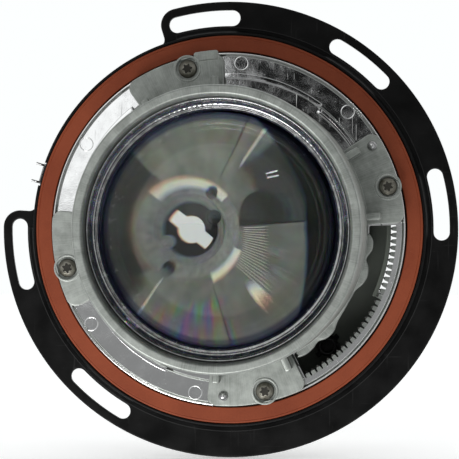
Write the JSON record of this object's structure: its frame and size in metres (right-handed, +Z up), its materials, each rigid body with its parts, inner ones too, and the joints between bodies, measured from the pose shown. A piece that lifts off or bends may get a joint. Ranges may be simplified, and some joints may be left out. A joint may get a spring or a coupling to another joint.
{
  "type": "headlight",
  "caption": "Round projector headlight with a slotted mounting ring, a silicone face seal, a metallised reflector and a thick lens in a die-cast holder.",
  "frame": {"origin": "on the optical axis, in the plane of the mounting flange's front face, which is also the middle of the whole object's box", "axes": "-Y is the way the light goes, +Z is up, +X is to the right as seen from in front of the lens"},
  "size_m": [0.146, 0.15, 0.1459],
  "materials": {
    "black_paint": "semi-gloss black, scuffed",
    "silicone": "matt moulded silicone",
    "metallising": "vacuum metallised mirror",
    "die_casting": "satin as cast",
    "lens_glass": "clear polished",
    "bright_metal": "bright rolled",
    "steel": "zinc plated",
    "dark_steel": "matt dark coating",
    "grey_plastic": "smooth satin",
    "black_plastic": "satin moulded",
    "black_rubber": "matt"
  },
  "bodies": {
    "lamp_body": {"mounting_ring": "black_paint", "gasket": "silicone", "reflector": "metallising", "lens_holder": "die_casting", "lens": "lens_glass", "lens_retaining_ring": "bright_metal", "lens_holder_screw_top": "steel", "lens_holder_screw_left": "steel", "lens_holder_screw_bottom": "steel", "lens_holder_screw_right": "steel", "locating_pin_right": "steel", "locating_pin_bottom": "steel", "retaining_clip_left": "bright_metal", "retaining_clip_right": "bright_metal", "retaining_clip_bottom": "bright_metal", "cutoff_shield": "dark_steel", "shield_screw_1": "steel", "shield_screw_2": "steel", "bulb_collar": "dark_steel", "bulb_collar_screw_1": "steel", "bulb_collar_screw_2": "steel", "lamp_chamber": "grey_plastic", "lamp_chamber_screw_1": "steel", "lamp_chamber_screw_2": "steel", "position_lamp_seal": "black_rubber"},
    "bail": {"bulb_bail": "bright_metal"},
    "lamp_socket": {"position_lamp_holder": "black_plastic"}
  },
  "joints": [
    {"name": "bail_hinge", "type": "hinge", "parent": "lamp_body", "child": "bail", "pos_m": [0, 0.06785, 0.0195], "axis": [1, 0, 0], "range_deg": [0, 110]},
    {"name": "lamp_twist", "type": "hinge", "parent": "lamp_body", "child": "lamp_socket", "pos_m": [0.03084, 0.024, -0.03808], "axis": [0, 1, 0], "range_deg": [0, 45]}
  ]
}
